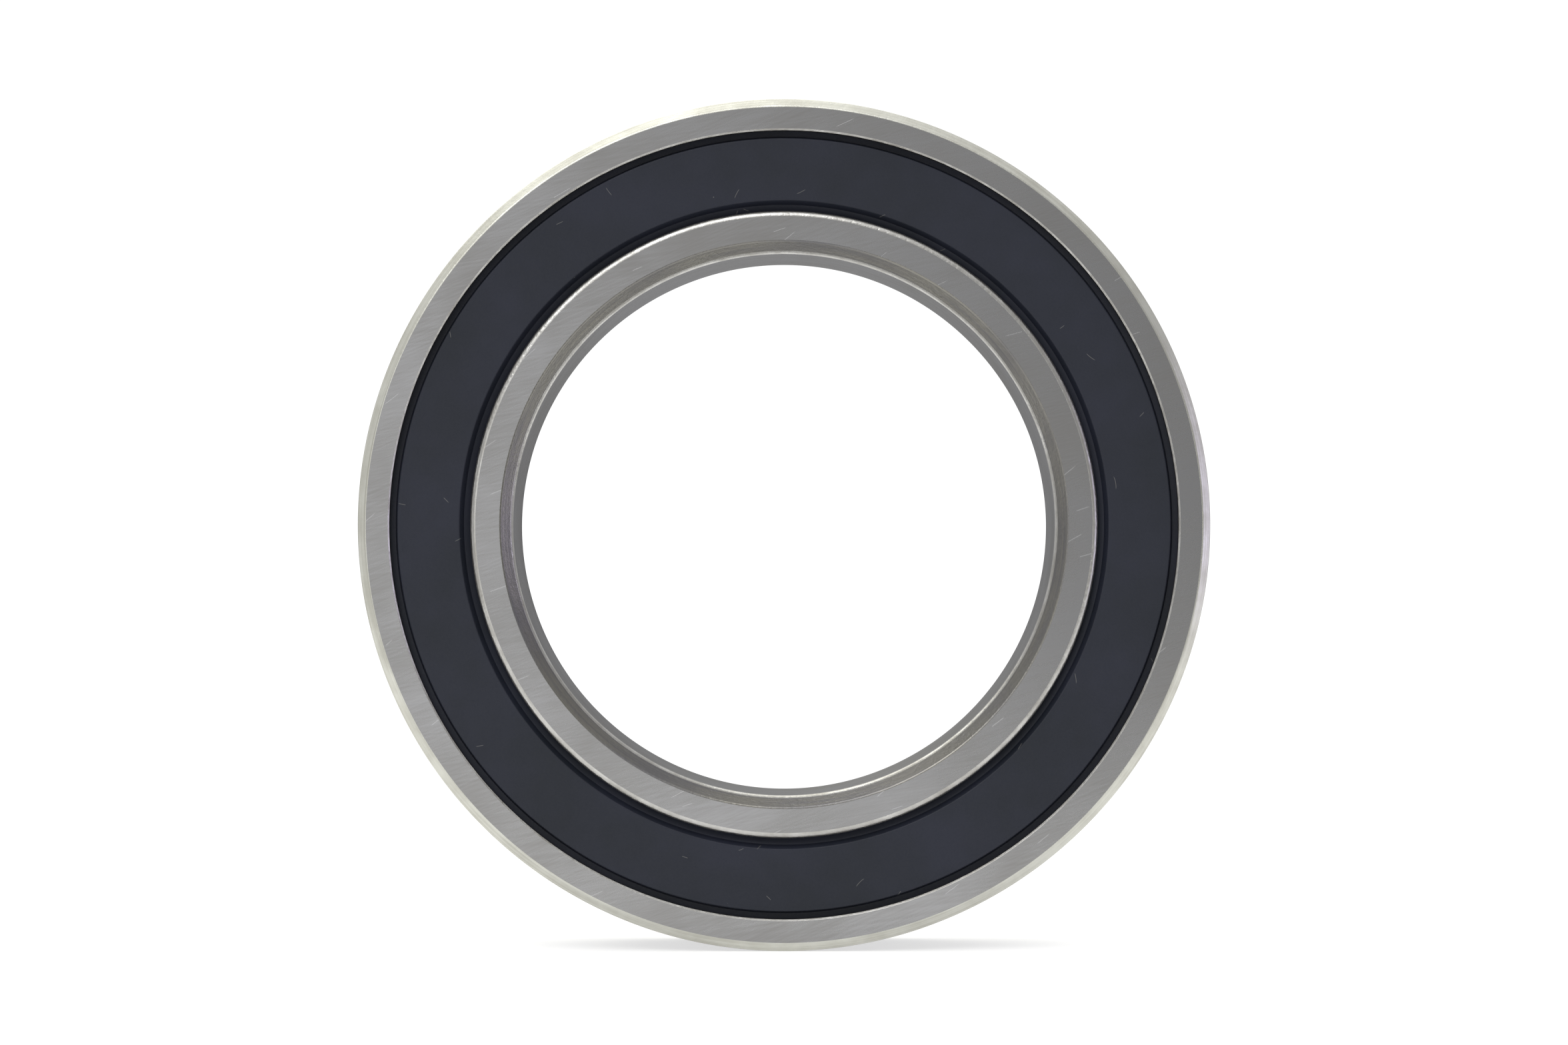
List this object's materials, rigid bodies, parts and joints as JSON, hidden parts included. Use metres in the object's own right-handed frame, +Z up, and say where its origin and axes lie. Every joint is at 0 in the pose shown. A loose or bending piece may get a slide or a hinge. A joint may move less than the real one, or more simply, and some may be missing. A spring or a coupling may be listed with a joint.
{
  "type": "ball bearing",
  "caption": "Sealed deep groove ball bearing: two steel rings, a row of balls in a riveted sheet-steel cage, and a black rubber seal with a steel core on each side.",
  "frame": {"origin": "on the bearing's axis, halfway between its two side faces", "axes": "+Y along the bearing's axis, from the front face to the back face; +Z up, through the centre of ball_01; +X to the right seen from the front"},
  "size_m": [0.055, 0.01, 0.055],
  "materials": {
    "ring_steel": "ground, through-hardened bearing steel",
    "ball_steel": "lapped to a mirror",
    "cage_steel": "pressed low-carbon sheet steel",
    "rivet_steel": "cold-headed steel",
    "seal_rubber": "matt moulded nitrile rubber",
    "core_steel": "phosphated sheet steel"
  },
  "bodies": {
    "outer_ring": {"outer_ring": "ring_steel", "seal_front_rubber": "seal_rubber", "seal_front_core": "core_steel", "seal_back_rubber": "seal_rubber", "seal_back_core": "core_steel"},
    "inner_ring": {"inner_ring": "ring_steel"},
    "cage": {"cage_front": "cage_steel", "cage_back": "cage_steel", "cage_rivets": "rivet_steel"},
    "ball_01": {"ball_01": "ball_steel"},
    "ball_02": {"ball_02": "ball_steel"},
    "ball_03": {"ball_03": "ball_steel"},
    "ball_04": {"ball_04": "ball_steel"},
    "ball_05": {"ball_05": "ball_steel"},
    "ball_06": {"ball_06": "ball_steel"},
    "ball_07": {"ball_07": "ball_steel"},
    "ball_08": {"ball_08": "ball_steel"},
    "ball_09": {"ball_09": "ball_steel"},
    "ball_10": {"ball_10": "ball_steel"},
    "ball_11": {"ball_11": "ball_steel"},
    "ball_12": {"ball_12": "ball_steel"},
    "ball_13": {"ball_13": "ball_steel"},
    "ball_14": {"ball_14": "ball_steel"}
  },
  "joints": [
    {"name": "inner_ring_spin", "type": "hinge", "parent": "outer_ring", "child": "inner_ring", "pos_m": [0, 0, 0], "axis": [0, 1, 0], "continuous": true},
    {"name": "cage_spin", "type": "hinge", "parent": "outer_ring", "child": "cage", "pos_m": [0, 0, 0], "axis": [0, 1, 0], "continuous": true},
    {"name": "ball_01_spin", "type": "hinge", "parent": "cage", "child": "ball_01", "pos_m": [0, 0, 0.0225], "axis": [0, 1, 0], "continuous": true},
    {"name": "ball_02_spin", "type": "hinge", "parent": "cage", "child": "ball_02", "pos_m": [0.00976, 0, 0.02027], "axis": [0, 1, 0], "continuous": true},
    {"name": "ball_03_spin", "type": "hinge", "parent": "cage", "child": "ball_03", "pos_m": [0.01759, 0, 0.01403], "axis": [0, 1, 0], "continuous": true},
    {"name": "ball_04_spin", "type": "hinge", "parent": "cage", "child": "ball_04", "pos_m": [0.02194, 0, 0.00501], "axis": [0, 1, 0], "continuous": true},
    {"name": "ball_05_spin", "type": "hinge", "parent": "cage", "child": "ball_05", "pos_m": [0.02194, 0, -0.00501], "axis": [0, 1, 0], "continuous": true},
    {"name": "ball_06_spin", "type": "hinge", "parent": "cage", "child": "ball_06", "pos_m": [0.01759, 0, -0.01403], "axis": [0, 1, 0], "continuous": true},
    {"name": "ball_07_spin", "type": "hinge", "parent": "cage", "child": "ball_07", "pos_m": [0.00976, 0, -0.02027], "axis": [0, 1, 0], "continuous": true},
    {"name": "ball_08_spin", "type": "hinge", "parent": "cage", "child": "ball_08", "pos_m": [0, 0, -0.0225], "axis": [0, 1, 0], "continuous": true},
    {"name": "ball_09_spin", "type": "hinge", "parent": "cage", "child": "ball_09", "pos_m": [-0.00976, 0, -0.02027], "axis": [0, 1, 0], "continuous": true},
    {"name": "ball_10_spin", "type": "hinge", "parent": "cage", "child": "ball_10", "pos_m": [-0.01759, 0, -0.01403], "axis": [0, 1, 0], "continuous": true},
    {"name": "ball_11_spin", "type": "hinge", "parent": "cage", "child": "ball_11", "pos_m": [-0.02194, 0, -0.00501], "axis": [0, 1, 0], "continuous": true},
    {"name": "ball_12_spin", "type": "hinge", "parent": "cage", "child": "ball_12", "pos_m": [-0.02194, 0, 0.00501], "axis": [0, 1, 0], "continuous": true},
    {"name": "ball_13_spin", "type": "hinge", "parent": "cage", "child": "ball_13", "pos_m": [-0.01759, 0, 0.01403], "axis": [0, 1, 0], "continuous": true},
    {"name": "ball_14_spin", "type": "hinge", "parent": "cage", "child": "ball_14", "pos_m": [-0.00976, 0, 0.02027], "axis": [0, 1, 0], "continuous": true}
  ],
  "couplings": [
    {"joint": "cage_spin", "follows": "inner_ring_spin", "ratio": 0.43386},
    {"joint": "ball_01_spin", "follows": "inner_ring_spin", "ratio": -3.7135},
    {"joint": "ball_02_spin", "follows": "inner_ring_spin", "ratio": -3.7135},
    {"joint": "ball_03_spin", "follows": "inner_ring_spin", "ratio": -3.7135},
    {"joint": "ball_04_spin", "follows": "inner_ring_spin", "ratio": -3.7135},
    {"joint": "ball_05_spin", "follows": "inner_ring_spin", "ratio": -3.7135},
    {"joint": "ball_06_spin", "follows": "inner_ring_spin", "ratio": -3.7135},
    {"joint": "ball_07_spin", "follows": "inner_ring_spin", "ratio": -3.7135},
    {"joint": "ball_08_spin", "follows": "inner_ring_spin", "ratio": -3.7135},
    {"joint": "ball_09_spin", "follows": "inner_ring_spin", "ratio": -3.7135},
    {"joint": "ball_10_spin", "follows": "inner_ring_spin", "ratio": -3.7135},
    {"joint": "ball_11_spin", "follows": "inner_ring_spin", "ratio": -3.7135},
    {"joint": "ball_12_spin", "follows": "inner_ring_spin", "ratio": -3.7135},
    {"joint": "ball_13_spin", "follows": "inner_ring_spin", "ratio": -3.7135},
    {"joint": "ball_14_spin", "follows": "inner_ring_spin", "ratio": -3.7135}
  ]
}
